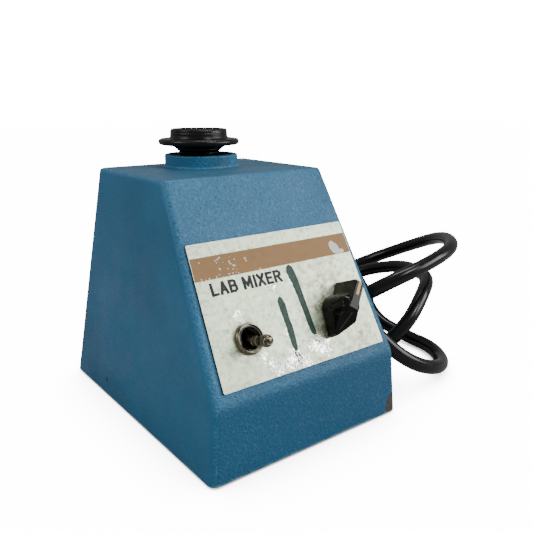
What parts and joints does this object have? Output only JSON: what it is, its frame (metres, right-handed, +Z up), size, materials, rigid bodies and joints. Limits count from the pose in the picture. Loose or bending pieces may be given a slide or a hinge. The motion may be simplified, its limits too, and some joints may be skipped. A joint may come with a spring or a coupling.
{
  "type": "vortex mixer",
  "caption": "Bench vortex mixer: wedge-shaped blue cast housing, sloped aluminium control plate with a toggle and a pointer knob, black rubber mixing cup, coiled black mains lead.",
  "frame": {"origin": "centre of the housing's footprint, on the surface it stands on", "axes": "+Z up, +X to the right seen from the front, the sloped control panel faces -Y"},
  "size_m": [0.2568, 0.2553, 0.1549],
  "materials": {
    "blue_enamel": "worn grained enamel",
    "panel_aluminium": "satin, grimy",
    "steel_zinc": "zinc plated",
    "steel_black": "satin black",
    "steel_bare": "ground",
    "chrome_worn": "worn plating",
    "brass": "dull",
    "sintered_bronze": "matte",
    "aluminium_cast": "as cast",
    "lamination_steel": "oiled laminations",
    "copper_winding": "varnished",
    "black_phenolic": "gloss",
    "grey_plastic": "satin",
    "black_plastic": "satin",
    "cream_inlay": "aged",
    "black_rubber": "matte",
    "cord_rubber": "slightly glossy",
    "wire_insulation": "satin"
  },
  "bodies": {
    "housing": {"cast_housing": "blue_enamel", "base_plate": "steel_zinc", "rubber_feet": "black_rubber", "base_screws": "steel_zinc", "panel_plate": "panel_aluminium", "toggle_switch_body": "black_phenolic", "toggle_lock_nut": "steel_zinc", "toggle_dress_nut": "chrome_worn", "speed_control_body": "grey_plastic", "speed_control_nut": "steel_zinc", "plunger_guide": "aluminium_cast", "touch_switch": "black_plastic", "touch_switch_screws": "steel_zinc", "motor_posts": "steel_zinc", "motor_post_screws": "steel_zinc", "motor_grommets": "black_rubber", "motor_mount_screws": "steel_zinc", "lower_bracket": "aluminium_cast", "upper_bracket": "aluminium_cast", "lower_bearing": "sintered_bronze", "upper_bearing": "sintered_bronze", "stator_core": "lamination_steel", "field_coils": "copper_winding", "motor_spacers": "steel_zinc", "motor_bolts": "steel_zinc", "motor_nuts": "steel_zinc", "strain_relief": "black_rubber", "terminal_block": "black_phenolic", "internal_wiring": "wire_insulation", "power_cord": "cord_rubber", "plug_body": "black_plastic", "plug_blades": "brass", "cord_tie": "black_plastic", "return_spring": "steel_bare"},
    "plunger": {"thrust_plunger": "black_plastic", "thrust_ball": "steel_bare", "touch_switch_button": "cream_inlay"},
    "rotor": {"motor_shaft": "steel_bare", "rotor_core": "lamination_steel", "cooling_fan": "black_plastic", "eccentric_hub": "steel_bare", "eccentric_set_screw": "steel_black", "pin_retaining_ring": "steel_black"},
    "cup_carrier": {"cup_bushing": "sintered_bronze", "cup_holder": "aluminium_cast", "splash_disc": "steel_zinc"},
    "cup": {"rubber_cup": "black_rubber"},
    "toggle": {"toggle_lever": "chrome_worn"},
    "knob": {"speed_knob": "black_phenolic", "knob_indicator_line": "cream_inlay", "knob_set_screw": "steel_bare", "speed_control_shaft": "aluminium_cast"}
  },
  "joints": [
    {"name": "head_press", "type": "slide", "parent": "housing", "child": "plunger", "axis": [0, 0, 1], "range_m": [-0.0015, 0], "stiffness_N_per_m": 8000, "springref_m": 0.002, "deforming": ["return_spring"]},
    {"name": "rotor_spin", "type": "hinge", "parent": "plunger", "child": "rotor", "pos_m": [0.0021, 0.0242, 0.11], "axis": [0, 0, 1], "continuous": true},
    {"name": "cup_orbit", "type": "hinge", "parent": "rotor", "child": "cup_carrier", "pos_m": [-0.00002, 0.02287, 0.123], "axis": [0, 0, 1], "continuous": true},
    {"name": "cup_lift", "type": "slide", "parent": "cup_carrier", "child": "cup", "axis": [0, 0, 1], "range_m": [0, 0.02]},
    {"name": "toggle_switch", "type": "hinge", "parent": "housing", "child": "toggle", "pos_m": [-0.0308, -0.06413, 0.05966], "axis": [-1, 0, 0], "range_deg": [0, 22]},
    {"name": "speed_turn", "type": "hinge", "parent": "housing", "child": "knob", "pos_m": [0.025, -0.07063, 0.06564], "axis": [0, 0.8704, -0.4923], "range_deg": [-5, 295]}
  ],
  "couplings": [
    {"joint": "cup_orbit", "follows": "rotor_spin", "ratio": -1}
  ]
}
